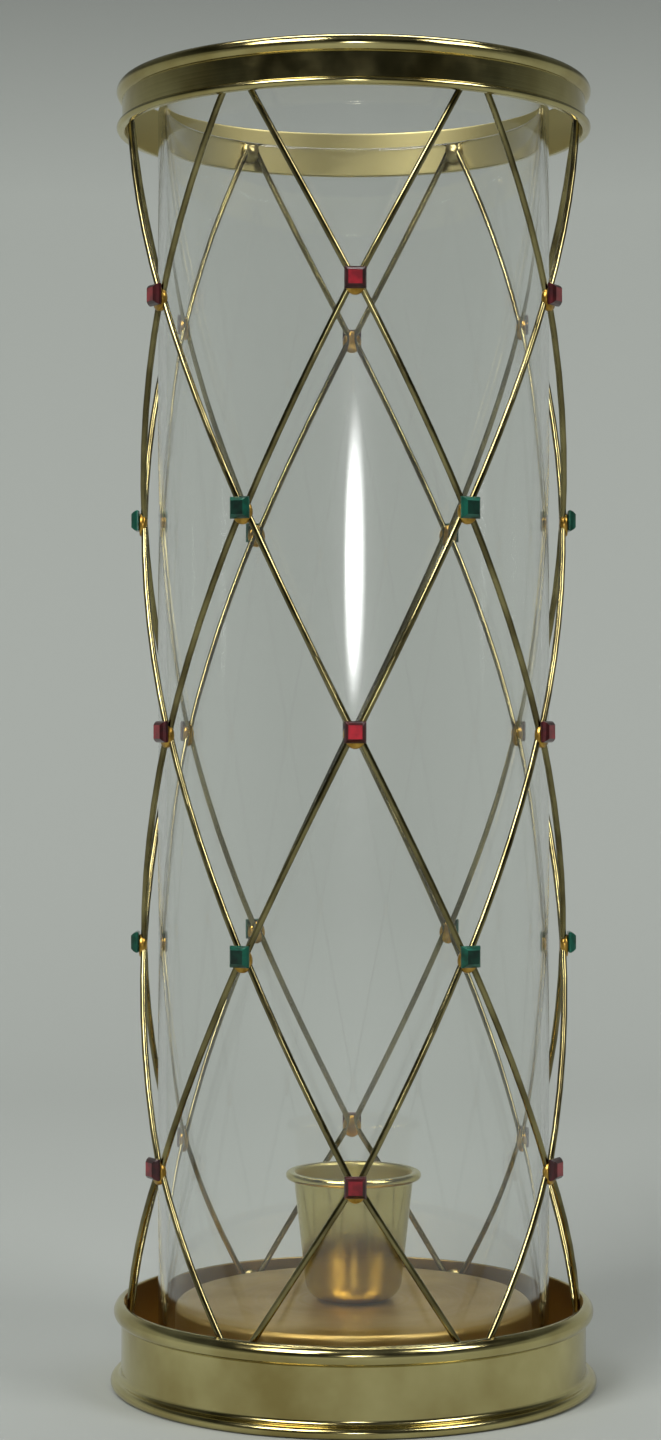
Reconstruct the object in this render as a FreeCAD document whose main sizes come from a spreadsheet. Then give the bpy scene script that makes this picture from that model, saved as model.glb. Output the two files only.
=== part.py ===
# Hurricane candle lantern: a glass chimney inside a cage of zigzag wires set with square stones,
# on a base with a votive cup, under an open top ring.
# Millimetres, +Z up, front towards -Y. The origin is at the centre of the foot, on the surface it stands on.
import FreeCAD
import Part
import Sketcher
import math
import os

# Counts of the pattern: stones in a row, rows of stones, and straight stretches in one run of a wire.
COLUMNS = 6
ROWS = 5
MIDDLE_ROW = 3
RUN_STRETCHES = 3
COLUMN_ANGLE = 360 / COLUMNS
HALF_COLUMN = COLUMN_ANGLE / 2
FRONT_ANGLE = -90

# Driving dimensions in millimetres, each written once.
SIZES = {
    # Overall height, and the brass sheet of the ring and the base.
    "total_height": 470.6,
    "sheet_wall": 1.2,
    # Base: height of the rim, its roll, and the rounded foot with the cove above it.
    "base_height": 30.6,
    "base_roll_height": 7.0,
    "base_roll_reach": 2.7,
    "foot_lip": 4.0,
    "foot_cove": 1.9,
    # Deck: raised plate, trough floor above the ground, skirt under the trough, gap to the band.
    "plate_radius": 64.8,
    "plate_rise": 18.2,
    "plate_edge_round": 2.0,
    "trough_height": 12.0,
    "skirt_depth": 7.0,
    "deck_gap": 0.1,
    # Glass chimney: room round the plate, wall, distance of its top below the ring's top, polished edges.
    "chimney_play": 3.2,
    "chimney_wall": 3.0,
    "chimney_drop": 8.6,
    "chimney_edge_round": 1.0,
    # Top ring: height, bead at the top, lip at the bottom.
    "ring_height": 17.1,
    "ring_bead_height": 5.7,
    "ring_bead_reach": 2.0,
    "ring_lip_height": 2.7,
    "ring_lip_reach": 2.0,
    # Cage of wires: room round the glass, outward flare at both ends, bends, and how the ends pair up.
    "wire_diameter": 2.3,
    "cage_gap": 3.25,
    "ring_flare": 5.75,
    "base_flare": 6.05,
    "top_run": 64.0,
    "bottom_run": 52.8,
    "bend_radius": 5.0,
    "bend_gap": 0.3,
    "end_gap": 0.9,
    "end_inset": 8.0,
    # Solder lumps that hold the wire ends to the walls.
    "solder_radius": 4.0,
    "solder_film": 0.5,
    "solder_cover": 0.6,
    "solder_shift": 1.0,
    # Solder buttons on the touching bends, and the stones on them.
    "seat_radius": 3.7,
    "seat_drop": 2.0,
    "seat_wrap": 0.8,
    "seat_front": 0.6,
    "stone_side": 7.5,
    "stone_depth": 2.9,
    "stone_bevel": 1.45,
    "stone_bevel_depth": 1.9,
    # Votive cup.
    "cup_height": 46.6,
    "cup_mouth_radius": 21.7,
    "cup_foot_radius": 16.8,
    "cup_wall": 1.0,
    "cup_corner": 7.5,
    "cup_roll": 2.9,
    # Screw, washer and nut that hold the cup to the plate.
    "screw_diameter": 4.0,
    "screw_play": 0.3,
    "head_overhang": 2.0,
    "head_height": 2.2,
    "washer_rim": 2.8,
    "washer_thickness": 0.8,
    "nut_wall": 1.5,
    "nut_height": 3.2,
    "thread_gap": 0.05,
    "screw_tail": 1.5,
}

# Sizes and places that follow from the driving dimensions, as expressions over the sheet.
RING_BOTTOM = "(Sizes.total_height - Sizes.ring_height)"
ROW_SPACING = f"(({RING_BOTTOM} - Sizes.top_run - Sizes.base_height - Sizes.bottom_run) / {ROWS - 1})"
TOP_END = f"({RING_BOTTOM} + Sizes.end_inset)"
BOTTOM_END = "(Sizes.base_height - Sizes.end_inset)"
WIRE_RADIUS = "(Sizes.wire_diameter / 2)"
PLATE_TOP = "(Sizes.trough_height + Sizes.plate_rise)"
CHIMNEY_BORE = "(Sizes.plate_radius + Sizes.chimney_play)"
CHIMNEY_RADIUS = f"({CHIMNEY_BORE} + Sizes.chimney_wall)"
CHIMNEY_TOP = "(Sizes.total_height - Sizes.chimney_drop)"
WAIST_RADIUS = f"({CHIMNEY_RADIUS} + Sizes.cage_gap + {WIRE_RADIUS})"
RING_END_RADIUS = f"({WAIST_RADIUS} + Sizes.ring_flare)"
BASE_END_RADIUS = f"({WAIST_RADIUS} + Sizes.base_flare)"
RING_BORE = f"({RING_END_RADIUS} + {WIRE_RADIUS} + Sizes.solder_film)"
BASE_BORE = f"({BASE_END_RADIUS} + {WIRE_RADIUS} + Sizes.solder_film)"
RING_RADIUS = f"({RING_BORE} + Sizes.sheet_wall)"
BASE_RADIUS = f"({BASE_BORE} + Sizes.sheet_wall)"
SCREW_RADIUS = "(Sizes.screw_diameter / 2)"
SCREW_HOLE = f"({SCREW_RADIUS} + Sizes.screw_play)"
PLATE_UNDERSIDE = f"({PLATE_TOP} - Sizes.sheet_wall)"
HEAD_SEAT = f"({PLATE_TOP} + Sizes.cup_wall)"
WASHER_BOTTOM = f"({PLATE_UNDERSIDE} - Sizes.washer_thickness)"
NUT_BOTTOM = f"({WASHER_BOTTOM} - Sizes.nut_height)"
SCREW_BOTTOM = f"({NUT_BOTTOM} - Sizes.screw_tail)"

doc = FreeCAD.newDocument("Lantern")
sizes = doc.addObject("Spreadsheet::Sheet", "Sizes")
for line, (alias, value) in enumerate(SIZES.items(), start=1):
    sizes.set(f"A{line}", alias)
    sizes.set(f"B{line}", str(value))
    sizes.setAlias(f"B{line}", alias)
doc.recompute()

# The finished sub-parts, by node name.
nodes = {}


def measure(expression):
    """The number that an expression over the sheet gives."""
    return float(sizes.evalExpression(expression))


def row_height(row):
    """Height of a row of stones, counted from the top."""
    return f"({RING_BOTTOM} - Sizes.top_run - {row - 1} * {ROW_SPACING})"


def cage_radius(height, above_middle):
    """Radius of the wires' centre line at a height: waisted at the middle row, flared to both ends."""
    flare, end = ("Sizes.ring_flare", TOP_END) if above_middle else ("Sizes.base_flare", BOTTOM_END)
    middle = row_height(MIDDLE_ROW)
    return f"({WAIST_RADIUS} + {flare} * (({height} - {middle}) / ({end} - {middle}))^2)"


def row_radius(row):
    """Radius of the wires' centre line at a row of stones."""
    return cage_radius(row_height(row), row < MIDDLE_ROW)


def row_turn(row):
    """Even rows stand half a column round from odd rows."""
    return HALF_COLUMN if row % 2 == 0 else 0


def register(node, thing):
    """Label a finished sub-part with its node name."""
    thing.Label = node
    nodes[node] = thing
    return thing


def origin_feature(body, role):
    """One of a body's own origin planes or axes."""
    return next(feature for feature in body.Origin.OriginFeatures if feature.Role == role)


def new_sketch(body, name):
    """An empty sketch on the body's own front plane, x to the right and y up."""
    sketch = body.newObject("Sketcher::SketchObject", name)
    sketch.AttachmentSupport = [(origin_feature(body, "XZ_Plane"), "")]
    sketch.MapMode = "FlatFace"
    return sketch


def bind(sketch, constraint, expression):
    """Add a dimension to a sketch and bind it to an expression."""
    number = sketch.addConstraint(constraint)
    sketch.setExpression(f"Constraints[{number}]", expression)


def arc_between(start, end, radius, sagitta, turn):
    """Arc from start to end. turn is 1 anticlockwise and -1 clockwise."""
    chord = end - start
    left = FreeCAD.Vector(-chord.y, chord.x, 0).normalize()
    centre = (start + end) / 2 + left * (turn * (radius - sagitta))
    first, last = (start, end) if turn > 0 else (end, start)
    angles = [math.atan2(point.y - centre.y, point.x - centre.x) for point in (first, last)]
    if angles[1] < angles[0]:
        angles[1] += 2 * math.pi
    circle = Part.Circle(centre, FreeCAD.Vector(0, 0, 1), radius)
    return Part.ArcOfCircle(circle, *angles)


def draw_outline(sketch, corners, arcs):
    """Closed outline through corners given as expression pairs. arcs maps the corner that an arc starts from
    to its radius, its sagitta and its turn."""
    points = [FreeCAD.Vector(measure(x), measure(y), 0) for x, y in corners]
    ends = []
    for index, start in enumerate(points):
        end = points[(index + 1) % len(points)]
        if index in arcs:
            radius, sagitta, turn = arcs[index]
            sketch.addGeometry(arc_between(start, end, measure(radius), measure(sagitta), turn))
            bind(sketch, Sketcher.Constraint("Radius", index, measure(radius)), radius)
            ends.append((1, 2) if turn > 0 else (2, 1))
        else:
            sketch.addGeometry(Part.LineSegment(start, end))
            ends.append((1, 2))
    for index, (x, y) in enumerate(corners):
        following = (index + 1) % len(corners)
        first = ends[index][0]
        joint = ("Coincident", index, ends[index][1], following, ends[following][0])
        sketch.addConstraint(Sketcher.Constraint(*joint))
        for direction, axis, place in (("DistanceX", -2, x), ("DistanceY", -1, y)):
            if measure(place) == 0:
                sketch.addConstraint(Sketcher.Constraint("PointOnObject", index, first, axis))
            else:
                bind(sketch, Sketcher.Constraint(direction, index, first, measure(place)), place)


def quarter(radius, turn):
    """A quarter of a circle, for an outline."""
    return radius, f"({radius} * (1 - sqrt(0.5)))", turn


def bead(height, reach, turn):
    """A rolled bead of a given height that stands out by its reach, for an outline."""
    return f"((({height})^2 / 4 + ({reach})^2) / (2 * {reach}))", reach, turn


def turned_body(name, corners, arcs):
    """Body turned about the vertical axis from one outline of its section."""
    body = doc.addObject("PartDesign::Body", name)
    sketch = new_sketch(body, f"{name}_section")
    draw_outline(sketch, corners, arcs)
    turned = body.newObject("PartDesign::Revolution", f"{name}_turned")
    turned.Profile = sketch
    turned.ReferenceAxis = (sketch, ["V_Axis"])
    turned.Angle = 360
    doc.recompute()
    return body


def edges_at(shape, radius, heights):
    """Names of the circular edges of a radius that lie at one of some heights."""
    names = []
    for number, edge in enumerate(shape.Edges, start=1):
        is_circle = isinstance(edge.Curve, Part.Circle)
        if is_circle and abs(edge.Curve.Radius - radius) < 1e-4:
            if any(abs(edge.Curve.Center.z - height) < 1e-4 for height in heights):
                names.append(f"Edge{number}")
    return names


def round_edges(body, edges, radius):
    """Round some edges of a body's last feature."""
    rounded = body.newObject("PartDesign::Fillet", f"{body.Name}_rounding")
    rounded.Base = (body.Group[-2], edges)
    rounded.setExpression("Radius", radius)
    doc.recompute()
    body.Tip = rounded


def make_base_band():
    """Sheet band with a rounded foot, a cove above it and a rolled rim."""
    half_lip = "(Sizes.foot_lip / 2)"
    lip_centre = f"({BASE_RADIUS} + Sizes.foot_cove)"
    roll_bottom = "(Sizes.base_height - Sizes.base_roll_height)"
    corners = [
        (BASE_BORE, "0"),
        (lip_centre, "0"),
        (f"({lip_centre} + {half_lip})", half_lip),
        (lip_centre, "Sizes.foot_lip"),
        (BASE_RADIUS, "(Sizes.foot_lip + Sizes.foot_cove)"),
        (BASE_RADIUS, roll_bottom),
        (BASE_RADIUS, "Sizes.base_height"),
        (BASE_BORE, "Sizes.base_height"),
    ]
    arcs = {
        1: quarter(half_lip, 1),
        2: quarter(half_lip, 1),
        3: quarter("Sizes.foot_cove", -1),
        5: bead("Sizes.base_roll_height", "Sizes.base_roll_reach", 1),
    }
    return register("base_band", turned_body("base_band", corners, arcs))


def make_base_deck():
    """Raised plate with a trough round it and a skirt that fits inside the band."""
    outside = f"({BASE_BORE} - Sizes.deck_gap)"
    floor = "Sizes.trough_height"
    under_floor = "(Sizes.trough_height - Sizes.sheet_wall)"
    skirt_bottom = f"({under_floor} - Sizes.skirt_depth)"
    wall_inside = "(Sizes.plate_radius - Sizes.sheet_wall)"
    skirt_inside = f"({outside} - Sizes.sheet_wall)"
    corners = [
        (SCREW_HOLE, PLATE_UNDERSIDE),
        (wall_inside, PLATE_UNDERSIDE),
        (wall_inside, under_floor),
        (skirt_inside, under_floor),
        (skirt_inside, skirt_bottom),
        (outside, skirt_bottom),
        (outside, floor),
        ("Sizes.plate_radius", floor),
        ("Sizes.plate_radius", PLATE_TOP),
        (SCREW_HOLE, PLATE_TOP),
    ]
    body = turned_body("base_deck", corners, {})
    edges = edges_at(body.Shape, measure("Sizes.plate_radius"), [measure(PLATE_TOP)])
    round_edges(body, edges, "Sizes.plate_edge_round")
    return register("base_deck", body)


def make_votive_cup():
    """Tapering cup with a rounded corner at the bottom, a rolled rim and a hole for its screw."""
    roll = "(Sizes.cup_roll / 2)"
    roll_centre = f"({PLATE_TOP} + Sizes.cup_height - {roll})"
    cup_top = f"({PLATE_TOP} + Sizes.cup_height)"
    roll_bottom = f"({cup_top} - Sizes.cup_roll)"
    mouth_inside = "(Sizes.cup_mouth_radius - Sizes.cup_wall)"
    foot_inside = "(Sizes.cup_foot_radius - Sizes.cup_wall)"
    roll_middle = f"(Sizes.cup_mouth_radius + {roll})"
    corners = [
        (SCREW_HOLE, PLATE_TOP),
        ("Sizes.cup_foot_radius", PLATE_TOP),
        ("Sizes.cup_mouth_radius", roll_bottom),
        (roll_middle, roll_bottom),
        ("(Sizes.cup_mouth_radius + Sizes.cup_roll)", roll_centre),
        (roll_middle, cup_top),
        (f"({mouth_inside} + {roll})", cup_top),
        (mouth_inside, roll_centre),
        (foot_inside, HEAD_SEAT),
        (SCREW_HOLE, HEAD_SEAT),
    ]
    arcs = {
        3: quarter(roll, 1),
        4: quarter(roll, 1),
        6: quarter(roll, 1),
    }
    body = turned_body("votive_cup", corners, arcs)
    inner_corner = edges_at(body.Shape, measure(foot_inside), [measure(HEAD_SEAT)])
    round_edges(body, inner_corner, "(Sizes.cup_corner - Sizes.cup_wall)")
    outer_corner = edges_at(body.Shape, measure("Sizes.cup_foot_radius"), [measure(PLATE_TOP)])
    round_edges(body, outer_corner, "Sizes.cup_corner")
    return register("votive_cup", body)


def make_glass_chimney():
    """Open glass cylinder with polished edges, standing in the trough round the plate."""
    corners = [
        (CHIMNEY_BORE, "Sizes.trough_height"),
        (CHIMNEY_RADIUS, "Sizes.trough_height"),
        (CHIMNEY_RADIUS, CHIMNEY_TOP),
        (CHIMNEY_BORE, CHIMNEY_TOP),
    ]
    body = turned_body("glass_chimney", corners, {})
    heights = [measure("Sizes.trough_height"), measure(CHIMNEY_TOP)]
    edges = []
    for radius in (CHIMNEY_BORE, CHIMNEY_RADIUS):
        edges += edges_at(body.Shape, measure(radius), heights)
    round_edges(body, edges, "Sizes.chimney_edge_round")
    return register("glass_chimney", body)


def make_top_ring():
    """Sheet band with a rounded lip at the bottom and a rolled bead at the top."""
    half_lip = "(Sizes.ring_lip_height / 2)"
    lip_centre = f"({RING_RADIUS} + Sizes.ring_lip_reach - {half_lip})"
    lip_top = f"({RING_BOTTOM} + Sizes.ring_lip_height)"
    bead_bottom = "(Sizes.total_height - Sizes.ring_bead_height)"
    corners = [
        (RING_BORE, RING_BOTTOM),
        (lip_centre, RING_BOTTOM),
        (f"({lip_centre} + {half_lip})", f"({RING_BOTTOM} + {half_lip})"),
        (lip_centre, lip_top),
        (RING_RADIUS, lip_top),
        (RING_RADIUS, bead_bottom),
        (RING_RADIUS, "Sizes.total_height"),
        (RING_BORE, "Sizes.total_height"),
    ]
    arcs = {
        1: quarter(half_lip, 1),
        2: quarter(half_lip, 1),
        5: bead("Sizes.ring_bead_height", "Sizes.ring_bead_reach", 1),
    }
    return register("top_ring", turned_body("top_ring", corners, arcs))


def make_cup_fixings():
    """Screw through the cup and the plate, with a washer and a nut under the plate."""
    screw_length = f"({HEAD_SEAT} - {SCREW_BOTTOM})"
    shank = cylinder("screw_shank", SCREW_RADIUS, screw_length, SCREW_BOTTOM)
    head = cylinder("screw_head", f"({SCREW_RADIUS} + Sizes.head_overhang)", "Sizes.head_height", HEAD_SEAT)
    screw = doc.addObject("Part::Fuse", "cup_screw")
    screw.Base = head
    screw.Tool = shank
    register("cup_screw", screw)

    disc_radius = f"({SCREW_HOLE} + Sizes.washer_rim)"
    disc = cylinder("washer_disc", disc_radius, "Sizes.washer_thickness", WASHER_BOTTOM)
    washer_hole = cylinder("washer_hole", SCREW_HOLE, "Sizes.washer_thickness", WASHER_BOTTOM)
    register("cup_washer", cut("cup_washer", disc, washer_hole))

    prism = doc.addObject("Part::Prism", "nut_prism")
    prism.Polygon = 6
    prism.setExpression("Circumradius", f"({SCREW_RADIUS} + Sizes.nut_wall) * 2 / sqrt(3)")
    prism.setExpression("Height", "Sizes.nut_height")
    prism.setExpression("Placement.Base.z", NUT_BOTTOM)
    thread = cylinder("nut_thread", f"({SCREW_RADIUS} + Sizes.thread_gap)", "Sizes.nut_height", NUT_BOTTOM)
    register("cup_nut", cut("cup_nut", prism, thread))


def cylinder(name, radius, height, bottom):
    """Upright cylinder on the vertical axis."""
    solid = doc.addObject("Part::Cylinder", name)
    solid.setExpression("Radius", radius)
    solid.setExpression("Height", height)
    solid.setExpression("Placement.Base.z", bottom)
    return solid


def cut(name, base, tool):
    """One solid less another."""
    result = doc.addObject("Part::Cut", name)
    result.Base = base
    result.Tool = tool
    return result


def on_cage(angle, height, above_middle):
    """Point of the wires' surface at an angle in degrees and a height."""
    radius = measure(cage_radius(f"{height:.9f}", above_middle))
    turn = math.radians(angle)
    return FreeCAD.Vector(radius * math.cos(turn), radius * math.sin(turn), height)


def wire_corners(column_angle, side):
    """Corners of one zigzag wire, bottom to top, as angle and height. The wire keeps to the half column
    on one side of its column and bends back where it touches its neighbours."""
    waist = measure(WAIST_RADIUS)
    rise = measure(ROW_SPACING)
    sway = waist * math.radians(HALF_COLUMN)
    bend_setback = measure("Sizes.bend_radius") * (math.hypot(rise, sway) / rise - 1)
    touch = (measure("Sizes.wire_diameter") + measure("Sizes.bend_gap")) / 2 - bend_setback
    touch_angle = math.degrees(touch / waist)
    pair_angle = math.degrees((measure("Sizes.wire_diameter") + measure("Sizes.end_gap")) / 2 / waist)
    corners = [(HALF_COLUMN - pair_angle, measure(BOTTOM_END))]
    for row in range(ROWS, 0, -1):
        at_neighbour = row % 2 == 0
        corners.append((HALF_COLUMN - touch_angle if at_neighbour else touch_angle, measure(row_height(row))))
    corners.append((HALF_COLUMN - pair_angle, measure(TOP_END)))
    return [(column_angle + side * angle, height) for angle, height in corners]


def rounded_path(points, bends, bend_radius):
    """Straight stretches joined by tangent arcs: of the bend radius at the bends, as wide as fits elsewhere."""
    shorter_share = 0.45
    edges = []
    reached = points[0]
    for index in range(1, len(points) - 1):
        before = points[index] - points[index - 1]
        after = points[index + 1] - points[index]
        half_turn = before.getAngle(after) / 2
        room = shorter_share * min(before.Length, after.Length)
        setback = bend_radius * math.tan(half_turn) if index in bends else room
        start = points[index] - before.normalize() * setback
        end = points[index] + after.normalize() * setback
        inward = ((start + end) / 2 - points[index]).normalize()
        middle = points[index] + inward * (setback * math.tan(half_turn / 2))
        edges.append(Part.LineSegment(reached, start).toShape())
        edges.append(Part.Arc(start, middle, end).toShape())
        reached = end
    edges.append(Part.LineSegment(reached, points[-1]).toShape())
    return Part.Wire(edges)


def make_lattice_wire(node, column_angle, side):
    """One zigzag wire, its round section swept along its path."""
    corners = wire_corners(column_angle, side)
    points = [on_cage(*corners[0], False)]
    bends = []
    for (angle, height), (next_angle, next_height) in zip(corners, corners[1:]):
        above_middle = next_height > measure(row_height(MIDDLE_ROW)) + 1e-6
        for stretch in range(1, RUN_STRETCHES + 1):
            share = stretch / RUN_STRETCHES
            stretch_angle = angle + share * (next_angle - angle)
            stretch_height = height + share * (next_height - height)
            points.append(on_cage(stretch_angle, stretch_height, above_middle))
        bends.append(len(points) - 1)
    path = doc.addObject("Part::Feature", f"{node}_path")
    path.Shape = rounded_path(points, bends, measure("Sizes.bend_radius"))

    section = doc.addObject("Part::Circle", f"{node}_section")
    section.setExpression("Radius", WIRE_RADIUS)
    facing = FreeCAD.Rotation(FreeCAD.Vector(0, 0, 1), points[1] - points[0])
    section.Placement = FreeCAD.Placement(points[0], facing)

    wire = doc.addObject("Part::Sweep", node)
    wire.Sections = [section]
    wire.Spine = (path, [f"Edge{number}" for number in range(1, len(path.Shape.Edges) + 1)])
    wire.Solid = True
    wire.Transition = "Transformed"
    return register(node, wire)


def make_cage():
    """All the zigzag wires, two to a column."""
    wires = []
    for column in range(COLUMNS):
        column_angle = FRONT_ANGLE + column * COLUMN_ANGLE
        for side in (-1, 1):
            node = f"lattice_wire_{len(wires) + 1:02d}"
            wires.append(make_lattice_wire(node, column_angle, side))
    return wires


def round_pads(name, turn, radius, height, inner, depth):
    """A ring of round pads that face outwards, one to a column."""
    body = doc.addObject("PartDesign::Body", name)
    sketch = new_sketch(body, f"{name}_outline")
    sketch.setExpression("AttachmentOffset.Base.y", height)
    sketch.setExpression("AttachmentOffset.Base.z", inner)
    sketch.addGeometry(Part.Circle(FreeCAD.Vector(), FreeCAD.Vector(0, 0, 1), measure(radius)))
    sketch.addConstraint(Sketcher.Constraint("Coincident", 0, 3, -1, 1))
    bind(sketch, Sketcher.Constraint("Radius", 0, measure(radius)), radius)
    pad = body.newObject("PartDesign::Pad", f"{name}_pad")
    pad.Profile = sketch
    pad.setExpression("Length", depth)
    doc.recompute()
    round_the_columns(body, [pad])
    body.Placement = about_axis(turn)
    return body


def round_the_columns(body, features):
    """Repeat features of a body once for each column."""
    pattern = body.newObject("PartDesign::PolarPattern", f"{body.Name}_ring")
    pattern.Originals = features
    pattern.Axis = (origin_feature(body, "Z_Axis"), [""])
    pattern.Angle = 360
    pattern.Occurrences = COLUMNS
    body.Tip = pattern
    doc.recompute()


def about_axis(turn):
    """Placement turned about the vertical axis by an angle in degrees."""
    return FreeCAD.Placement(FreeCAD.Vector(), FreeCAD.Rotation(FreeCAD.Vector(0, 0, 1), turn))


def make_end_solder(node, wall, end_radius, height, wires):
    """Solder lumps round the paired wire ends, filling the room up to the wall behind them."""
    inner = f"({end_radius} - {WIRE_RADIUS} - Sizes.solder_cover)"
    depth = f"({end_radius} + {WIRE_RADIUS} + Sizes.solder_film + Sizes.sheet_wall / 2 - {inner})"
    lumps = round_pads(f"{node}_lumps", HALF_COLUMN, "Sizes.solder_radius", height, inner, depth)
    held = doc.addObject("Part::Compound", f"{node}_held")
    held.Links = wires + [wall]
    return register(node, cut(node, lumps, held))


def make_seat_row(row, cage):
    """Solder buttons over the touching bends of one row, hollowed by the wires."""
    node = f"seat_row_{row}"
    inner = f"({row_radius(row)} + {WIRE_RADIUS} - Sizes.seat_wrap)"
    height = f"({row_height(row)} - Sizes.seat_drop)"
    depth = "(Sizes.seat_wrap + Sizes.seat_front)"
    buttons = round_pads(f"{node}_buttons", row_turn(row), "Sizes.seat_radius", height, inner, depth)
    return register(node, cut(node, buttons, cage))


def make_stone_row(row):
    """Square step-cut stones of one row, each flat on its button."""
    node = f"{'emerald' if row % 2 == 0 else 'ruby'}_row_{row}"
    body = doc.addObject("PartDesign::Body", node)
    sketch = new_sketch(body, f"{node}_outline")
    back = f"({row_radius(row)} + {WIRE_RADIUS} + Sizes.seat_front)"
    sketch.setExpression("AttachmentOffset.Base.y", row_height(row))
    sketch.setExpression("AttachmentOffset.Base.z", back)
    half = measure("Sizes.stone_side") / 2
    corners = [(-half, -half), (half, -half), (half, half), (-half, half)]
    for index, corner in enumerate(corners):
        following = corners[(index + 1) % len(corners)]
        sketch.addGeometry(Part.LineSegment(FreeCAD.Vector(*corner), FreeCAD.Vector(*following)))
    for index in range(len(corners)):
        following = (index + 1) % len(corners)
        sketch.addConstraint(Sketcher.Constraint("Coincident", index, 2, following, 1))
        sketch.addConstraint(Sketcher.Constraint("Horizontal" if index % 2 == 0 else "Vertical", index))
    sketch.addConstraint(Sketcher.Constraint("Symmetric", 0, 1, 2, 1, -1, 1))
    bind(sketch, Sketcher.Constraint("DistanceX", 0, 1, 0, 2, 2 * half), "Sizes.stone_side")
    bind(sketch, Sketcher.Constraint("DistanceY", 1, 1, 1, 2, 2 * half), "Sizes.stone_side")
    block = body.newObject("PartDesign::Pad", f"{node}_block")
    block.Profile = sketch
    block.setExpression("Length", "Sizes.stone_depth")
    doc.recompute()

    face = -measure(back) - measure("Sizes.stone_depth")
    front_edges = []
    for number, edge in enumerate(block.Shape.Edges, start=1):
        if all(abs(vertex.Point.y - face) < 1e-6 for vertex in edge.Vertexes):
            front_edges.append(f"Edge{number}")
    bevel = body.newObject("PartDesign::Chamfer", f"{node}_bevel")
    bevel.Base = (block, front_edges)
    bevel.ChamferType = "Two distances"
    bevel.FlipDirection = True
    bevel.setExpression("Size", "Sizes.stone_bevel")
    bevel.setExpression("Size2", "Sizes.stone_bevel_depth")
    doc.recompute()
    round_the_columns(body, [block, bevel])
    body.Placement = about_axis(row_turn(row))
    return register(node, body)


def check_document():
    """Stop if any object failed or any sub-part has no valid solid."""
    for thing in doc.Objects:
        if "Invalid" in thing.State or "Error" in thing.State:
            raise RuntimeError(f"{thing.Label} failed: {thing.State}")
    for node, thing in nodes.items():
        if thing.Shape.isNull() or not thing.Shape.isValid() or not thing.Shape.Solids:
            raise RuntimeError(f"{node} has no valid solid")


def write_parts():
    """Write each sub-part's shape to its own file."""
    os.makedirs("parts", exist_ok=True)
    for node, thing in nodes.items():
        thing.Shape.exportStep(f"parts/{node}.step")
        solids = thing.Shape.Solids
        print(f"{node}: {len(solids)} solids, {sum(solid.Volume for solid in solids):.2f} mm3")


base_band = make_base_band()
make_base_deck()
make_votive_cup()
make_cup_fixings()
make_glass_chimney()
top_ring = make_top_ring()
cage_wires = make_cage()
doc.recompute()

cage_group = doc.addObject("Part::Compound", "cage_group")
cage_group.Links = cage_wires
doc.recompute()
ring_lump_height = f"({TOP_END} - Sizes.solder_shift)"
base_lump_height = f"({BOTTOM_END} + Sizes.solder_shift)"
make_end_solder("ring_solder", top_ring, RING_END_RADIUS, ring_lump_height, cage_wires)
make_end_solder("base_solder", base_band, BASE_END_RADIUS, base_lump_height, cage_wires)
for stone_row in range(1, ROWS + 1):
    make_seat_row(stone_row, cage_group)
    make_stone_row(stone_row)
doc.recompute()

check_document()
write_parts()
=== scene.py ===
# %% [markdown]
# # A hurricane candle lantern
# This lesson dresses the working model of a tall brass lantern: a glass chimney in a cage of
# zigzag wires, with square red and green stones where the wires meet, over a round base with a
# votive cup.
# The working model is the frame. It fixes the places and the outer sizes, so each piece here is
# drawn where the frame says, and then takes over from the plain solid that stood for it.

# %% Load the frame
import math

import bmesh
import bpy
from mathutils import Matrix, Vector


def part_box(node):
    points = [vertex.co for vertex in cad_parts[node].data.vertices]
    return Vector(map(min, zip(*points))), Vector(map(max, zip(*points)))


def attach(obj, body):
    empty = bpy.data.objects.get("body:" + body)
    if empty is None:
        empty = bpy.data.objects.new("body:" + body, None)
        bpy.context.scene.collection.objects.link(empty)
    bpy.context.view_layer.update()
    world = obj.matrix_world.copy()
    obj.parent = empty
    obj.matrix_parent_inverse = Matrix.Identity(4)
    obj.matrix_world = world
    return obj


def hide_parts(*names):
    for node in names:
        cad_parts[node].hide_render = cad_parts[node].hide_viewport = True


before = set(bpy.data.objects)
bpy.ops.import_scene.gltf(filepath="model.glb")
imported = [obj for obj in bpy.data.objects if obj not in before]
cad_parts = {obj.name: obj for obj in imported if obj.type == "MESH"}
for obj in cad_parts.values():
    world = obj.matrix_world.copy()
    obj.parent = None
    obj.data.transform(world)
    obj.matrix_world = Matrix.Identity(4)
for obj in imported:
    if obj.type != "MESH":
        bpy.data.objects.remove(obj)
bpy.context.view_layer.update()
MM = 0.001

# %% [markdown]
# ## Small tools
# Colours are picked in sRGB, but shaders count in linear light, so one function turns a
# hex value into linear numbers. A second one adds a node to any tree, with its settings, and
# sets or links its sockets, which keeps each finish short to read.

# %% Colours and nodes
def linear(hex_colour):
    """Linear RGBA of an sRGB hex colour."""
    channels = [int(hex_colour[place:place + 2], 16) / 255 for place in (1, 3, 5)]
    return [c / 12.92 if c <= 0.04045 else ((c + 0.055) / 1.055) ** 2.4 for c in channels] + [1.0]


def feed(tree, node, inputs):
    """Fills a node's inputs, each with a value or with a link from another node's output."""
    for socket, value in inputs.items():
        if isinstance(value, bpy.types.NodeSocket):
            tree.links.new(value, node.inputs[socket])
        else:
            node.inputs[socket].default_value = value


def add(tree, kind, inputs=None, stops=(), **settings):
    """A new node with its settings, its inputs and, on a colour ramp, its stops."""
    node = tree.nodes.new(kind)
    for name, value in settings.items():
        setattr(node, name, value)
    for number, (spot, hex_colour) in enumerate(stops):
        node.color_ramp.elements[number].position = spot
        node.color_ramp.elements[number].color = linear(hex_colour)
    feed(tree, node, inputs or {})
    return node


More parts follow.
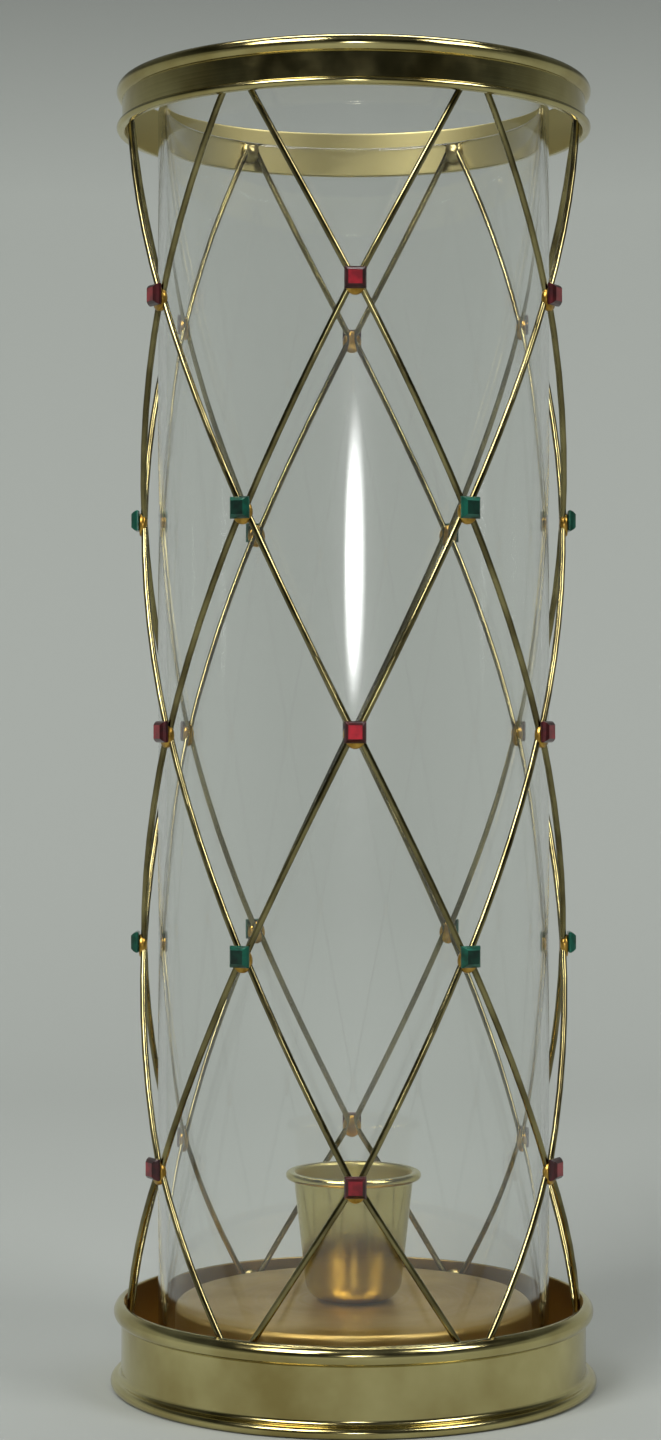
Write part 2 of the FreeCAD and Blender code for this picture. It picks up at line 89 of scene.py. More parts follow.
def new_finish(name):
    """An empty material with its tree, its shader and the piece's own coordinates in metres."""
    material = bpy.data.materials.new(name)
    material.use_nodes = True
    tree = material.node_tree
    tree.nodes.clear()
    shader = add(tree, "ShaderNodeBsdfPrincipled")
    add(tree, "ShaderNodeOutputMaterial", {"Surface": shader.outputs[0]})
    place = add(tree, "ShaderNodeTexCoord").outputs["Object"]
    return material, tree, shader, place


def per_metre(millimetres):
    """Texture scale that makes one feature of a noise about this many millimetres wide."""
    return 1 / (millimetres * MM)


def outward_share(tree, place):
    """How squarely a face looks away from the axis: 1 outwards, 0 sideways or up, -1 inwards."""
    level = add(tree, "ShaderNodeVectorMath", {0: place, 1: (1, 1, 0)}, operation="MULTIPLY")
    outwards = add(tree, "ShaderNodeVectorMath", {0: level.outputs[0]}, operation="NORMALIZE")
    facing = add(tree, "ShaderNodeTexCoord").outputs["Normal"]
    share = add(tree, "ShaderNodeVectorMath", {0: outwards.outputs[0], 1: facing},
                operation="DOT_PRODUCT")
    return share.outputs["Value"]


# %% [markdown]
# ## Spun brass
# The base, the ring and the cup are spun from brass sheet, polished on the lathe and lacquered.
# The tool leaves very fine rings round the axis, the lacquer ages to a browner gold in soft
# patches, and handling dulls it here and there. A noise that is squeezed along the height draws
# the rings, because height is what stays the same along each of them. Real rings are too fine to
# show here, so they are drawn nearly a millimetre wide. Only the outside was polished, so a face
# that looks inwards stays satin. Inside the base its colour is painted darker and browner, as
# painted shade for the shade that falls inside the base.

# %% Spun brass finish
BRASS_PATCH_MM, BRASS_WEAR_MM = 38, 9
BRASS_WEAR = 0.1
RING_CHANGES_PER_METRE = 12
RING_STRENGTH, RING_DEPTH_MM = 0.25, 0.05
TURNING_INWARDS, FULLY_INWARDS = -0.3, -0.8
INSIDE_ROUGHNESS = 0.45


def make_spun_brass(name, bright, aged, inside, gloss, ring_mm):
    """Lathe-polished sheet under old lacquer: bright outside, satin inside, in soft patches."""
    material, tree, shader, place = new_finish(name)
    patches = add(tree, "ShaderNodeTexNoise", {
        "Vector": place, "Scale": per_metre(BRASS_PATCH_MM), "Detail": 4.0})
    polished = add(tree, "ShaderNodeValToRGB", {"Fac": patches.outputs["Fac"]},
                   stops=[(0.34, aged), (0.62, bright)])
    inwards = add(tree, "ShaderNodeMapRange", {
        "Value": outward_share(tree, place),
        "From Min": TURNING_INWARDS, "From Max": FULLY_INWARDS})
    # Faces that look inwards take the inside colour; on the base that colour is painted shade.
    shade = add(tree, "ShaderNodeMix", {
        0: inwards.outputs["Result"], 6: polished.outputs["Color"], 7: linear(inside)},
        data_type="RGBA")
    squeeze = (RING_CHANGES_PER_METRE, RING_CHANGES_PER_METRE, per_metre(ring_mm))
    around = add(tree, "ShaderNodeMapping", {"Vector": place, "Scale": squeeze})
    rings = add(tree, "ShaderNodeTexNoise", {
        "Vector": around.outputs[0], "Scale": 1.0, "Detail": 3.0})
    dulled = add(tree, "ShaderNodeTexNoise", {
        "Vector": place, "Scale": per_metre(BRASS_WEAR_MM), "Detail": 5.0})
    worn = add(tree, "ShaderNodeMapRange", {
        "Value": dulled.outputs["Fac"], "From Min": 0.3, "From Max": 0.75,
        "To Min": gloss, "To Max": gloss + BRASS_WEAR})
    rough = add(tree, "ShaderNodeMapRange", {
        "Value": inwards.outputs["Result"],
        "To Min": worn.outputs["Result"], "To Max": INSIDE_ROUGHNESS})
    bump = add(tree, "ShaderNodeBump", {
        "Height": rings.outputs["Fac"], "Strength": RING_STRENGTH, "Distance": RING_DEPTH_MM * MM})
    feed(tree, shader, {
        "Metallic": 1.0, "Base Color": shade.outputs[2], "Roughness": rough.outputs["Result"],
        "Normal": bump.outputs["Normal"]})
    return material


# The base's inside colour, #ab8a50, is painted shade: darker and browner than its brass.
base_brass = make_spun_brass("spun_base_brass", "#cabf88", "#a3935c", "#ab8a50",
                             gloss=0.1, ring_mm=0.9)
ring_brass = make_spun_brass("spun_ring_brass", "#cabf88", "#a3935c", "#c3b781",
                             gloss=0.1, ring_mm=0.9)
cup_brass = make_spun_brass("spun_cup_brass", "#d6ca8a", "#bdac70", "#c9bb7d",
                            gloss=0.13, ring_mm=0.7)
print("finishes:", base_brass.name, ring_brass.name, cup_brass.name)

# %% [markdown]
# ## Satin plate
# The plate inside the glass is brass too, but only brushed on the lathe, so it is softer than
# the outside. Its rings run round the axis on a flat face, so here the distance from the axis
# draws them instead of the height. They too are drawn coarser than real ones, so that they show.

# %% Satin brass finish
BRUSH_RING_MM, BRUSH_PATCH_MM = 1.1, 30
BRUSH_STRENGTH, BRUSH_DEPTH_MM = 0.3, 0.05


def make_satin_brass():
    """Brass plate, brushed in circles about its centre: a soft sheen with fine rings."""
    material, tree, shader, place = new_finish("satin_turned_brass")
    axes = add(tree, "ShaderNodeSeparateXYZ", {"Vector": place}).outputs
    flat = add(tree, "ShaderNodeCombineXYZ", {"X": axes["X"], "Y": axes["Y"]})
    radius = add(tree, "ShaderNodeVectorMath", {0: flat.outputs[0]}, operation="LENGTH")
    ring_place = add(tree, "ShaderNodeCombineXYZ", {
        "X": radius.outputs["Value"], "Y": axes["Z"]})
    rings = add(tree, "ShaderNodeTexNoise", {
        "Vector": ring_place.outputs[0], "Scale": per_metre(BRUSH_RING_MM), "Detail": 4.0})
    patches = add(tree, "ShaderNodeTexNoise", {
        "Vector": place, "Scale": per_metre(BRUSH_PATCH_MM), "Detail": 3.0})
    colour = add(tree, "ShaderNodeValToRGB", {"Fac": patches.outputs["Fac"]},
                 stops=[(0.35, "#cba75a"), (0.65, "#e0c178")])
    rough = add(tree, "ShaderNodeMapRange", {
        "Value": rings.outputs["Fac"], "From Min": 0.3, "From Max": 0.7,
        "To Min": 0.38, "To Max": 0.5})
    bump = add(tree, "ShaderNodeBump", {
        "Height": rings.outputs["Fac"], "Strength": BRUSH_STRENGTH,
        "Distance": BRUSH_DEPTH_MM * MM})
    feed(tree, shader, {
        "Metallic": 0.85, "Base Color": colour.outputs["Color"],
        "Roughness": rough.outputs["Result"], "Normal": bump.outputs["Normal"]})
    return material


satin_brass = make_satin_brass()
print("finish:", satin_brass.name)

# %% [markdown]
# ## Drawn wire and gold solder
# The cage is drawn brass wire, bright from the die, with lacquer that has browned in places. The
# seats of the stones are amber gold and the lumps at the wire ends a paler one. Both were poured
# and are uneven, so their skin is wrinkled and less shiny.

# %% Wire and solder finishes
WIRE_PATCH_MM, WIRE_WEAR_MM = 17, 6
SOLDER_PATCH_MM, SOLDER_SKIN_MM = 3.5, 1.6
SOLDER_STRENGTH, SOLDER_DEPTH_MM = 0.4, 0.2


def make_drawn_wire():
    """Drawn brass wire: bright and smooth, with browner stretches."""
    material, tree, shader, place = new_finish("drawn_brass_wire")
    patches = add(tree, "ShaderNodeTexNoise", {
        "Vector": place, "Scale": per_metre(WIRE_PATCH_MM), "Detail": 3.0})
    colour = add(tree, "ShaderNodeValToRGB", {"Fac": patches.outputs["Fac"]},
                 stops=[(0.36, "#655c3d"), (0.64, "#968c61")])
    dulled = add(tree, "ShaderNodeTexNoise", {
        "Vector": place, "Scale": per_metre(WIRE_WEAR_MM), "Detail": 3.0})
    rough = add(tree, "ShaderNodeMapRange", {
        "Value": dulled.outputs["Fac"], "From Min": 0.3, "From Max": 0.7,
        "To Min": 0.1, "To Max": 0.22})
    feed(tree, shader, {
        "Metallic": 1.0, "Base Color": colour.outputs["Color"],
        "Roughness": rough.outputs["Result"]})
    return material


def make_solder(name, deep, bright):
    """Poured solder with a wrinkled skin, which breaks its highlights up."""
    material, tree, shader, place = new_finish(name)
    patches = add(tree, "ShaderNodeTexNoise", {
        "Vector": place, "Scale": per_metre(SOLDER_PATCH_MM), "Detail": 4.0})
    colour = add(tree, "ShaderNodeValToRGB", {"Fac": patches.outputs["Fac"]},
                 stops=[(0.35, deep), (0.65, bright)])
    skin = add(tree, "ShaderNodeTexNoise", {
        "Vector": place, "Scale": per_metre(SOLDER_SKIN_MM), "Detail": 2.0})
    bump = add(tree, "ShaderNodeBump", {
        "Height": skin.outputs["Fac"], "Strength": SOLDER_STRENGTH,
        "Distance": SOLDER_DEPTH_MM * MM})
    feed(tree, shader, {
        "Metallic": 1.0, "Roughness": 0.3, "Base Color": colour.outputs["Color"],
        "Normal": bump.outputs["Normal"]})
    return material


drawn_wire = make_drawn_wire()
gold_solder = make_solder("amber_gold_solder", "#94702c", "#cfa550")
pale_solder = make_solder("pale_brass_solder", "#978757", "#bdb07c")
print("finishes:", drawn_wire.name, gold_solder.name, pale_solder.name)

# %% [markdown]
# ## Glass
# The chimney is clear drawn glass: faint ripples along its length bend what is behind it a
# little, and a haze of handling on its skin spreads a highlight into a soft glow. The haze is a
# thin rough coat, so that the view through the wall stays sharp. The stones are dark coloured
# glass, cut and polished over foil. The foil shines back through the colour, so the finish is
# partly a metal, under a clear polished coat. The flat table on top and the bevels round it send
# back different light, and the finish paints that in: it asks how squarely a face looks away
# from the lantern's axis and mixes two colours, a painted reflection that makes red bevels darker
# and green bevels lighter than their table.

# %% Glass finishes
RIPPLE_MM, RIPPLE_LENGTHWISE = 26, 0.12
RIPPLE_STRENGTH, RIPPLE_DEPTH_MM = 0.1, 0.4
DUST_MM = 5
STONE_CLOUD_MM = 4.5
BEVEL_UP_TO, TABLE_FROM = 0.9, 0.97


def make_clear_glass():
    """Clear drawn glass, faintly rippled, with a touch of dust and a haze on its skin."""
    material, tree, shader, place = new_finish("clear_drawn_glass")
    lengthwise = add(tree, "ShaderNodeMapping", {
        "Vector": place, "Scale": (1, 1, RIPPLE_LENGTHWISE)})
    ripple = add(tree, "ShaderNodeTexNoise", {
        "Vector": lengthwise.outputs[0], "Scale": per_metre(RIPPLE_MM), "Detail": 1.0})
    bump = add(tree, "ShaderNodeBump", {
        "Height": ripple.outputs["Fac"], "Strength": RIPPLE_STRENGTH,
        "Distance": RIPPLE_DEPTH_MM * MM})
    dust = add(tree, "ShaderNodeTexNoise", {
        "Vector": place, "Scale": per_metre(DUST_MM), "Detail": 6.0})
    rough = add(tree, "ShaderNodeMapRange", {
        "Value": dust.outputs["Fac"], "From Min": 0.5, "From Max": 0.9,
        "To Min": 0.0, "To Max": 0.05})
    feed(tree, shader, {
        "Base Color": linear("#fdfefd"), "Transmission Weight": 1.0, "IOR": 1.47,
        "Coat Weight": 0.4, "Coat Roughness": 0.22, "Roughness": rough.outputs["Result"],
        "Normal": bump.outputs["Normal"]})
    return material


def make_stone_glass(name, bevel, table):
    """Cut glass over foil: table and bevels get different colours as painted reflection, and both
    run from deep to bright.
    """
    material, tree, shader, place = new_finish(name)
    cloud = add(tree, "ShaderNodeTexNoise", {
        "Vector": place, "Scale": per_metre(STONE_CLOUD_MM), "Detail": 2.0})
    on_bevel, on_table = [
        add(tree, "ShaderNodeValToRGB", {"Fac": cloud.outputs["Fac"]},
            stops=[(0.35, deep), (0.65, bright)])
        for deep, bright in (bevel, table)]
    # Painted reflection: a face that looks squarely outwards takes the table colour, a bevel the
    # other.
    flatness = add(tree, "ShaderNodeMapRange", {
        "Value": outward_share(tree, place), "From Min": BEVEL_UP_TO, "From Max": TABLE_FROM})
    colour = add(tree, "ShaderNodeMix", {
        0: flatness.outputs["Result"], 6: on_bevel.outputs["Color"],
        7: on_table.outputs["Color"]}, data_type="RGBA")
    feed(tree, shader, {
        "Base Color": colour.outputs[2], "Metallic": 0.6, "Roughness": 0.38, "Coat Weight": 0.6,
        "Coat Roughness": 0.03})
    return material


clear_glass = make_clear_glass()
# The bevel and table colours are painted reflection: red bevels darker, green bevels lighter than
# the table.
red_glass = make_stone_glass("red_cut_glass", ("#2e060a", "#500b12"), ("#6f0c19", "#a01525"))
green_glass = make_stone_glass("green_cut_glass", ("#06402f", "#0e6450"), ("#022018", "#073d2f"))
print("finishes:", clear_glass.name, red_glass.name, green_glass.name)

# %% [markdown]
# ## Pieces turned on a lathe
# A spun piece is one section carried round the axis. Blender can spin a profile with a modifier
# or an operator, but writing the rings directly gives clean quads with no seam: each point of a
# closed section becomes a ring of points, and neighbouring rings are joined by quads. Smooth
# shading blends the direction of neighbouring faces, so a long straight stretch gets one more
# ring close to each end. Without them the whole wall would shade, and bend light, like a lens.

# %% Points of a section
LONG_STRETCH = 3.0
SUPPORT = 0.4
SAME_POINT = 1e-6


def arc(centre, radius, start, end, steps=8):
    """Points of an arc in a section, by angle in degrees: 0 points outwards and 90 up."""
    points = []
    for step in range(steps + 1):
        angle = math.radians(start + (end - start) * step / steps)
        points.append((centre[0] + radius * math.cos(angle), centre[1] + radius * math.sin(angle)))
    return points


def bead(radius, bottom, top, reach, steps=14):
    """Points of a rolled bead on a wall of this radius, from its bottom to its top."""
    half = (top - bottom) / 2
    curve = (half * half + reach * reach) / (2 * reach)
    spread = math.degrees(math.atan2(half, curve - reach))
    return arc((radius + reach - curve, bottom + half), curve, -spread, spread, steps)


def with_supports(section):
    """The section with a point close to each end of every long straight stretch."""
    points = []
    for start, end in zip(section, section[1:] + section[:1]):
        length = math.dist(start, end)
        if length < SAME_POINT:
            continue
        points.append(start)
        if length > LONG_STRETCH:
            for share in (SUPPORT / length, 1 - SUPPORT / length):
                points.append((start[0] + share * (end[0] - start[0]),
                               start[1] + share * (end[1] - start[1])))
    return points


# %% Turning a section
LATHE_STEPS = 240
SHARP_ANGLE = 38


def turned_mesh(name, section):
    """Mesh of a closed section, in millimetres from the axis and up, carried round the axis."""
    points = with_supports(section)
    vertices = []
    for step in range(LATHE_STEPS):
        turn = 2 * math.pi * step / LATHE_STEPS
        vertices += [(r * MM * math.cos(turn), r * MM * math.sin(turn), z * MM) for r, z in points]
    count = len(points)
    faces = []
    for step in range(LATHE_STEPS):
        here = step * count
        there = (step + 1) % LATHE_STEPS * count
        for place in range(count):
            following = (place + 1) % count
            faces.append((here + place, there + place, there + following, here + following))
    mesh = bpy.data.meshes.new(name)
    mesh.from_pydata(vertices, [], faces)
    shell = bmesh.new()
    shell.from_mesh(mesh)
    bmesh.ops.recalc_face_normals(shell, faces=shell.faces)
    shell.to_mesh(mesh)
    shell.free()
    mesh.set_sharp_from_angle(angle=math.radians(SHARP_ANGLE))
    return mesh


def finish_piece(mesh, name, material, body, nodes):
    """Makes a piece of a mesh, with its finish, riding on its body and standing for its nodes."""
    piece = bpy.data.objects.new(name, mesh)
    bpy.context.scene.collection.objects.link(piece)
    mesh.materials.clear()
    mesh.materials.append(material)
    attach(piece, body)
    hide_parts(*nodes)
    mesh.calc_loop_triangles()
    print(name, "-", len(mesh.loop_triangles), "triangles")


def turn_piece(name, section, material, body, node):
    """Makes a piece by turning its section, in place of one node."""
    finish_piece(turned_mesh(name, section), name, material, body, [node])


# %% [markdown]
# ## Base and ring
# The base is a band with a rounded foot, a cove above it and a rolled rim. The ring is the same
# work with smaller lips. Their heights and outer radii come from the frame, so a change in the
# working model carries over.

# %% Base band and top ring
SHEET = 1.2
EDGE_BREAK = 0.4
RIM_ROUND = 0.5
FOOT_LIP, FOOT_COVE = 4.0, 1.9
BASE_ROLL_HEIGHT, BASE_ROLL_REACH = 7.0, 2.7
RING_BEAD_HEIGHT, RING_BEAD_REACH = 5.7, 2.0
RING_LIP_HEIGHT, RING_LIP_REACH = 2.7, 2.0


def box_mm(node):
    """Lowest and highest corner of a node, in millimetres."""
    low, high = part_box(node)
    return low / MM, high / MM


def inner_rim(bore, top):
    """Points that round the inner edge at the top of a sheet wall."""
    return arc((bore + RIM_ROUND, top - RIM_ROUND), RIM_ROUND, 90, 180, steps=4)


base_height = box_mm("base_band")[1].z
base_radius = max(box_mm("base_band")[1].xy) - FOOT_LIP / 2 - FOOT_COVE
base_bore = base_radius - SHEET
foot_centre = base_radius + FOOT_COVE
base_section = [(base_bore, EDGE_BREAK), (base_bore + EDGE_BREAK, 0)]
base_section += arc((foot_centre, FOOT_LIP / 2), FOOT_LIP / 2, -90, 90, steps=14)
base_section += arc((foot_centre, FOOT_LIP + FOOT_COVE), FOOT_COVE, 270, 180)
base_section += bead(base_radius, base_height - BASE_ROLL_HEIGHT, base_height, BASE_ROLL_REACH)
base_section += inner_rim(base_bore, base_height)
turn_piece("base_shell", base_section, base_brass, "frame", "base_band")

ring_low, ring_high = box_mm("top_ring")
ring_radius = max(ring_high.xy) - RING_LIP_REACH
ring_bore = ring_radius - SHEET
lip_radius = RING_LIP_HEIGHT / 2
lip_centre = (ring_radius + RING_LIP_REACH - lip_radius, ring_low.z + lip_radius)
ring_section = [(ring_bore, ring_low.z + EDGE_BREAK), (ring_bore + EDGE_BREAK, ring_low.z)]
ring_section += arc(lip_centre, lip_radius, -90, 90, steps=12)
ring_section += [(ring_radius, ring_low.z + RING_LIP_HEIGHT)]
ring_section += bead(ring_radius, ring_high.z - RING_BEAD_HEIGHT, ring_high.z, RING_BEAD_REACH)
ring_section += inner_rim(ring_bore, ring_high.z)
turn_piece("ring_shell", ring_section, ring_brass, "frame", "top_ring")

# %% [markdown]
# ## Plate and cup
# The plate is pressed up from the trough with a soft edge, and the cup stands on it: a tapering
# wall, a rounded corner at the bottom and a rolled rim. Both keep the hole for the screw, so the
# section never touches the axis.

# %% Deck plate
PLATE_EDGE = 2.0
TROUGH_CORNER = 1.4
PLATE_RADIUS = 64.8
SCREW_HOLE = 2.3

deck_low, deck_high = box_mm("base_deck")
deck_outside = max(deck_high.xy)
trough_floor = box_mm("glass_chimney")[0].z
under_trough = trough_floor - SHEET
deck_section = [(SCREW_HOLE, deck_high.z - SHEET), (SCREW_HOLE, deck_high.z)]
deck_section += arc((PLATE_RADIUS - PLATE_EDGE, deck_high.z - PLATE_EDGE), PLATE_EDGE, 90, 0)
deck_section += arc((PLATE_RADIUS + TROUGH_CORNER, trough_floor + TROUGH_CORNER),
                    TROUGH_CORNER, 180, 270)
deck_section += arc((deck_outside - SHEET, under_trough), SHEET, 90, 0, steps=4)
deck_section += [(deck_outside, deck_low.z), (deck_outside - SHEET, deck_low.z)]
deck_section += [(deck_outside - SHEET, under_trough), (PLATE_RADIUS - SHEET, under_trough)]
deck_section += [(PLATE_RADIUS - SHEET, deck_high.z - SHEET)]
turn_piece("deck_plate", deck_section, satin_brass, "frame", "base_deck")

# %% Votive cup
CUP_WALL, CUP_CORNER, CUP_ROLL = 1.0, 7.5, 2.9
CUP_MOUTH, CUP_FOOT = 21.7, 16.8


def cup_corner(foot, floor, mouth, height, radius):
    """Arc that rounds the corner between the cup's floor and its leaning wall, going up."""
    lean = math.atan2(mouth - foot, height - floor)
    centre = (foot - radius * (1 - math.sin(lean)) / math.cos(lean), floor + radius)
    return arc(centre, radius, 270, 360 - math.degrees(lean), steps=12)


cup_top = box_mm("votive_cup")[1].z
roll_radius = CUP_ROLL / 2
roll_centre = cup_top - roll_radius
cup_floor = deck_high.z + CUP_WALL
mouth_inside = CUP_MOUTH - CUP_WALL
cup_section = [(SCREW_HOLE, deck_high.z)]
cup_section += cup_corner(CUP_FOOT, deck_high.z, CUP_MOUTH, cup_top - CUP_ROLL, CUP_CORNER)
cup_section += [(CUP_MOUTH, cup_top - CUP_ROLL)]
cup_section += arc((CUP_MOUTH + roll_radius, roll_centre), roll_radius, -90, 90, steps=12)
cup_section += arc((mouth_inside + roll_radius, roll_centre), roll_radius, 90, 180, steps=6)
cup_section += cup_corner(CUP_FOOT - CUP_WALL, cup_floor, mouth_inside, roll_centre,
                          CUP_CORNER - CUP_WALL)[::-1]
cup_section += [(SCREW_HOLE, cup_floor)]
turn_piece("cup_shell", cup_section, cup_brass, "frame", "votive_cup")

# %% [markdown]
# ## Chimney
# The glass is the one loose piece: it rides on its own body and lifts out through the ring. Its
# edges are fire polished, so both rims are rounded, and that bright ring of light is what makes
# a glass tube read as glass.

# %% Glass chimney
GLASS_WALL = 3.0
GLASS_EDGE = 1.2

glass_low, glass_high = box_mm("glass_chimney")
glass_radius = max(glass_high.xy)
inner_edge = glass_radius - GLASS_WALL + GLASS_EDGE
outer_edge = glass_radius - GLASS_EDGE
lower_edge, upper_edge = glass_low.z + GLASS_EDGE, glass_high.z - GLASS_EDGE
glass_corners = [(inner_edge, lower_edge, 180), (outer_edge, lower_edge, 270),
                 (outer_edge, upper_edge, 0), (inner_edge, upper_edge, 90)]
glass_section = []
for across, up, start in glass_corners:
    glass_section += arc((across, up), GLASS_EDGE, start, start + 90, steps=5)
turn_piece("chimney_glass", glass_section, clear_glass, "chimney", "glass_chimney")

# %% [markdown]
# ## The cage
# Each wire zigzags inside half a column and bends back where it meets its neighbour, so no wire
# crosses another. One path is worked out below, from the heights of the stones. Geometry
# Nodes then does the rest: it sweeps a round section along the path, mirrors it for the other
# half of the column and repeats the pair round the axis.

# %% Path of one wire
COLUMNS = 6
HALF_COLUMN = 180 / COLUMNS
FRONT = -90
WIRE_RADIUS = 1.15
SEAT_FRONT = 0.6
STONE_DEPTH = 2.9
END_INSET = 8.0
END_GAP = 0.9
BEND_RADIUS = 5.0
BEND_GAP = 0.3
SOLDER_FILM = 0.5
PATH_STEPS = 6
STONE_ROWS = ["ruby_row_1", "emerald_row_2", "ruby_row_3", "emerald_row_4", "ruby_row_5"]
WAIST_ROW = 2

row_boxes = [box_mm(node) for node in STONE_ROWS]
row_heights = [(low.z + high.z) / 2 for low, high in row_boxes]
stone_faces = [max(high.xy) for low, high in row_boxes]
waist = stone_faces[WAIST_ROW] - STONE_DEPTH - SEAT_FRONT - WIRE_RADIUS
waist_height = row_heights[WAIST_ROW]
wire_top = ring_low.z + END_INSET
wire_bottom = base_height - END_INSET


def cage_radius(height):
    """Radius of the wires' centre line: waisted at the middle row and flared to both ends."""
    above = height > waist_height
    end = wire_top if above else wire_bottom
    bore = ring_bore if above else base_bore
    flare = bore - SOLDER_FILM - WIRE_RADIUS - waist
    return waist + flare * ((height - waist_height) / (end - waist_height)) ** 2


def on_cage(angle, height):
    """Point of the cage at an angle in degrees and a height in millimetres, in metres."""
    radius = cage_radius(height)
    turn = math.radians(angle)
    return Vector((radius * math.cos(turn), radius * math.sin(turn), height)) * MM


def wire_path():
    """Points of the wire on the right of the front column, from its bottom to its top end."""
    rise = row_heights[0] - row_heights[1]
    sway = waist * math.radians(HALF_COLUMN)
    setback = BEND_RADIUS * (math.hypot(rise, sway) / rise - 1)
    touch = math.degrees((WIRE_RADIUS + BEND_GAP / 2 - setback) / waist)
    pair = math.degrees((WIRE_RADIUS + END_GAP / 2) / waist)
    corners = [(HALF_COLUMN - pair, wire_bottom)]
    for row in range(len(row_heights) - 1, -1, -1):
        corners.append((HALF_COLUMN - touch if row % 2 else touch, row_heights[row]))
    corners.append((HALF_COLUMN - pair, wire_top))
    points = [on_cage(FRONT + corners[0][0], corners[0][1])]
    for (angle, height), (next_angle, next_height) in zip(corners, corners[1:]):
        for step in range(1, PATH_STEPS + 1):
            share = step / PATH_STEPS
            points.append(on_cage(FRONT + angle + share * (next_angle - angle),
                                  height + share * (next_height - height)))
    return points


path_points = wire_path()
print("wire path:", len(path_points), "points, waist radius", round(waist, 2), "mm")

# %% [markdown]
# A tree of Geometry Nodes has named inputs for its sizes. A modifier's input is set by the
# socket's identifier, which stays the same when a label is changed. Both trees in this lesson
# turn copies about the axis and end alike, so two functions build what they share.

# %% Trees and baking
def new_tree(name, sizes):
    """An empty Geometry Nodes tree: a geometry socket each way and an input for each size."""
    tree = bpy.data.node_groups.new(name, "GeometryNodeTree")
    for way in ("INPUT", "OUTPUT"):
        tree.interface.new_socket("Geometry", in_out=way, socket_type="NodeSocketGeometry")
    for label, kind in sizes:
        tree.interface.new_socket(label, in_out="INPUT", socket_type=kind)
    return tree, add(tree, "NodeGroupInput").outputs, add(tree, "NodeGroupOutput")


def repeat_round_axis(tree, geometry, count):
    """Copies of a geometry, turned evenly round the vertical axis."""
    step = add(tree, "ShaderNodeMath", {0: 2 * math.pi, 1: count}, operation="DIVIDE")
    number = add(tree, "GeometryNodeInputIndex")
    turn = add(tree, "ShaderNodeMath", {0: number.outputs[0], 1: step.outputs[0]},
               operation="MULTIPLY")
    about = add(tree, "ShaderNodeCombineXYZ", {"Z": turn.outputs[0]})
    spots = add(tree, "GeometryNodePoints", {"Count": count})
    copies = add(tree, "GeometryNodeInstanceOnPoints", {
        "Points": spots.outputs[0], "Instance": geometry, "Rotation": about.outputs[0]})
    return copies.outputs[0]


def close_tree(tree, instances, smooth, finish, made):
    """Real geometry, smooth or faceted, with its finish, handed to the tree's output."""
    real = add(tree, "GeometryNodeRealizeInstances", {"Geometry": instances})
    shaded = add(tree, "GeometryNodeSetShadeSmooth", {
        "Geometry": real.outputs[0], "Shade Smooth": smooth})
    finished = add(tree, "GeometryNodeSetMaterial", {
        "Geometry": shaded.outputs[0], "Material": finish})
    feed(tree, made, {0: finished.outputs[0]})


def baked(holder, tree, values):
    """Plain mesh of what a tree makes on an object, which is then removed."""
    bpy.context.scene.collection.objects.link(holder)
    modifier = holder.modifiers.new(tree.name, "NODES")
    modifier.node_group = tree
    for item in tree.interface.items_tree:
        if item.in_out == "INPUT" and item.name in values:
            modifier[item.identifier] = values[item.name]
    evaluated = holder.evaluated_get(bpy.context.evaluated_depsgraph_get())
    mesh = bpy.data.meshes.new_from_object(evaluated)
    holder.modifiers.remove(modifier)
    bpy.data.objects.remove(holder)
    return mesh


# %% Cage of wires
BEND_POINTS = 6
WIRE_SIDES = 18


def make_cage_tree():
    """Wire swept along its path, mirrored and repeated round the axis."""
    tree, given, made = new_tree("zigzag_cage", [
        ("Wire Radius", "NodeSocketFloat"), ("Bend Radius", "NodeSocketFloat"),
        ("Columns", "NodeSocketInt"), ("Finish", "NodeSocketMaterial")])
    rounded = add(tree, "GeometryNodeFilletCurve", {
        "Curve": given["Geometry"], "Count": BEND_POINTS, "Radius": given["Bend Radius"]},
        mode="POLY")
    section = add(tree, "GeometryNodeCurvePrimitiveCircle", {
        "Resolution": WIRE_SIDES, "Radius": given["Wire Radius"]})
    swept = add(tree, "GeometryNodeCurveToMesh", {
        "Curve": rounded.outputs["Curve"], "Profile Curve": section.outputs["Curve"],
        "Fill Caps": True})
    mirrored = add(tree, "GeometryNodeTransform", {
        "Geometry": swept.outputs["Mesh"], "Scale": (-1, 1, 1)})
    turned_out = add(tree, "GeometryNodeFlipFaces", {"Mesh": mirrored.outputs["Geometry"]})
    pair = add(tree, "GeometryNodeJoinGeometry", {0: swept.outputs["Mesh"]})
    feed(tree, pair, {0: turned_out.outputs["Mesh"]})
    repeated = repeat_round_axis(tree, pair.outputs[0], given["Columns"])
    close_tree(tree, repeated, True, given["Finish"], made)
    return tree


def path_curve(name, points):
    """Curve object through points, for a tree to sweep along."""
    curve = bpy.data.curves.new(name, "CURVE")
    curve.dimensions = "3D"
    spline = curve.splines.new("POLY")
    spline.points.add(len(points) - 1)
    for spot, point in zip(spline.points, points):
        spot.co = (*point, 1)
    return bpy.data.objects.new(name, curve)


cage_mesh = baked(path_curve("wire_path", path_points), make_cage_tree(), {
    "Wire Radius": WIRE_RADIUS * MM, "Bend Radius": BEND_RADIUS * MM, "Columns": COLUMNS,
    "Finish": drawn_wire})
wire_nodes = [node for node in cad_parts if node.startswith("lattice_wire")]
finish_piece(cage_mesh, "wire_cage", drawn_wire, "frame", wire_nodes)

# %% [markdown]
# ## Stones and their seats
# Each stone is square and step cut: a flat table, two steps of bevels, a straight girdle and a
# flat back on a gold seat. A bevelled cube would have only one step, so the stone is built up
# from square outlines, and its seat from oval ones. Each is modelled once for a row, at the
# front.

# %% One stone
STONE_SIDE = row_boxes[0][1].z - row_boxes[0][0].z
STONE_STEPS = [(0.92, 0.0), (1.0, 0.15), (1.0, 0.36), (0.86, 0.7), (0.64, 1.0)]
STONE_EDGE = 0.07


def mesh_of(shell, name):
    """Mesh of a finished shell, which is then let go."""
    mesh = bpy.data.meshes.new(name)
    shell.to_mesh(mesh)
    shell.free()
    return mesh


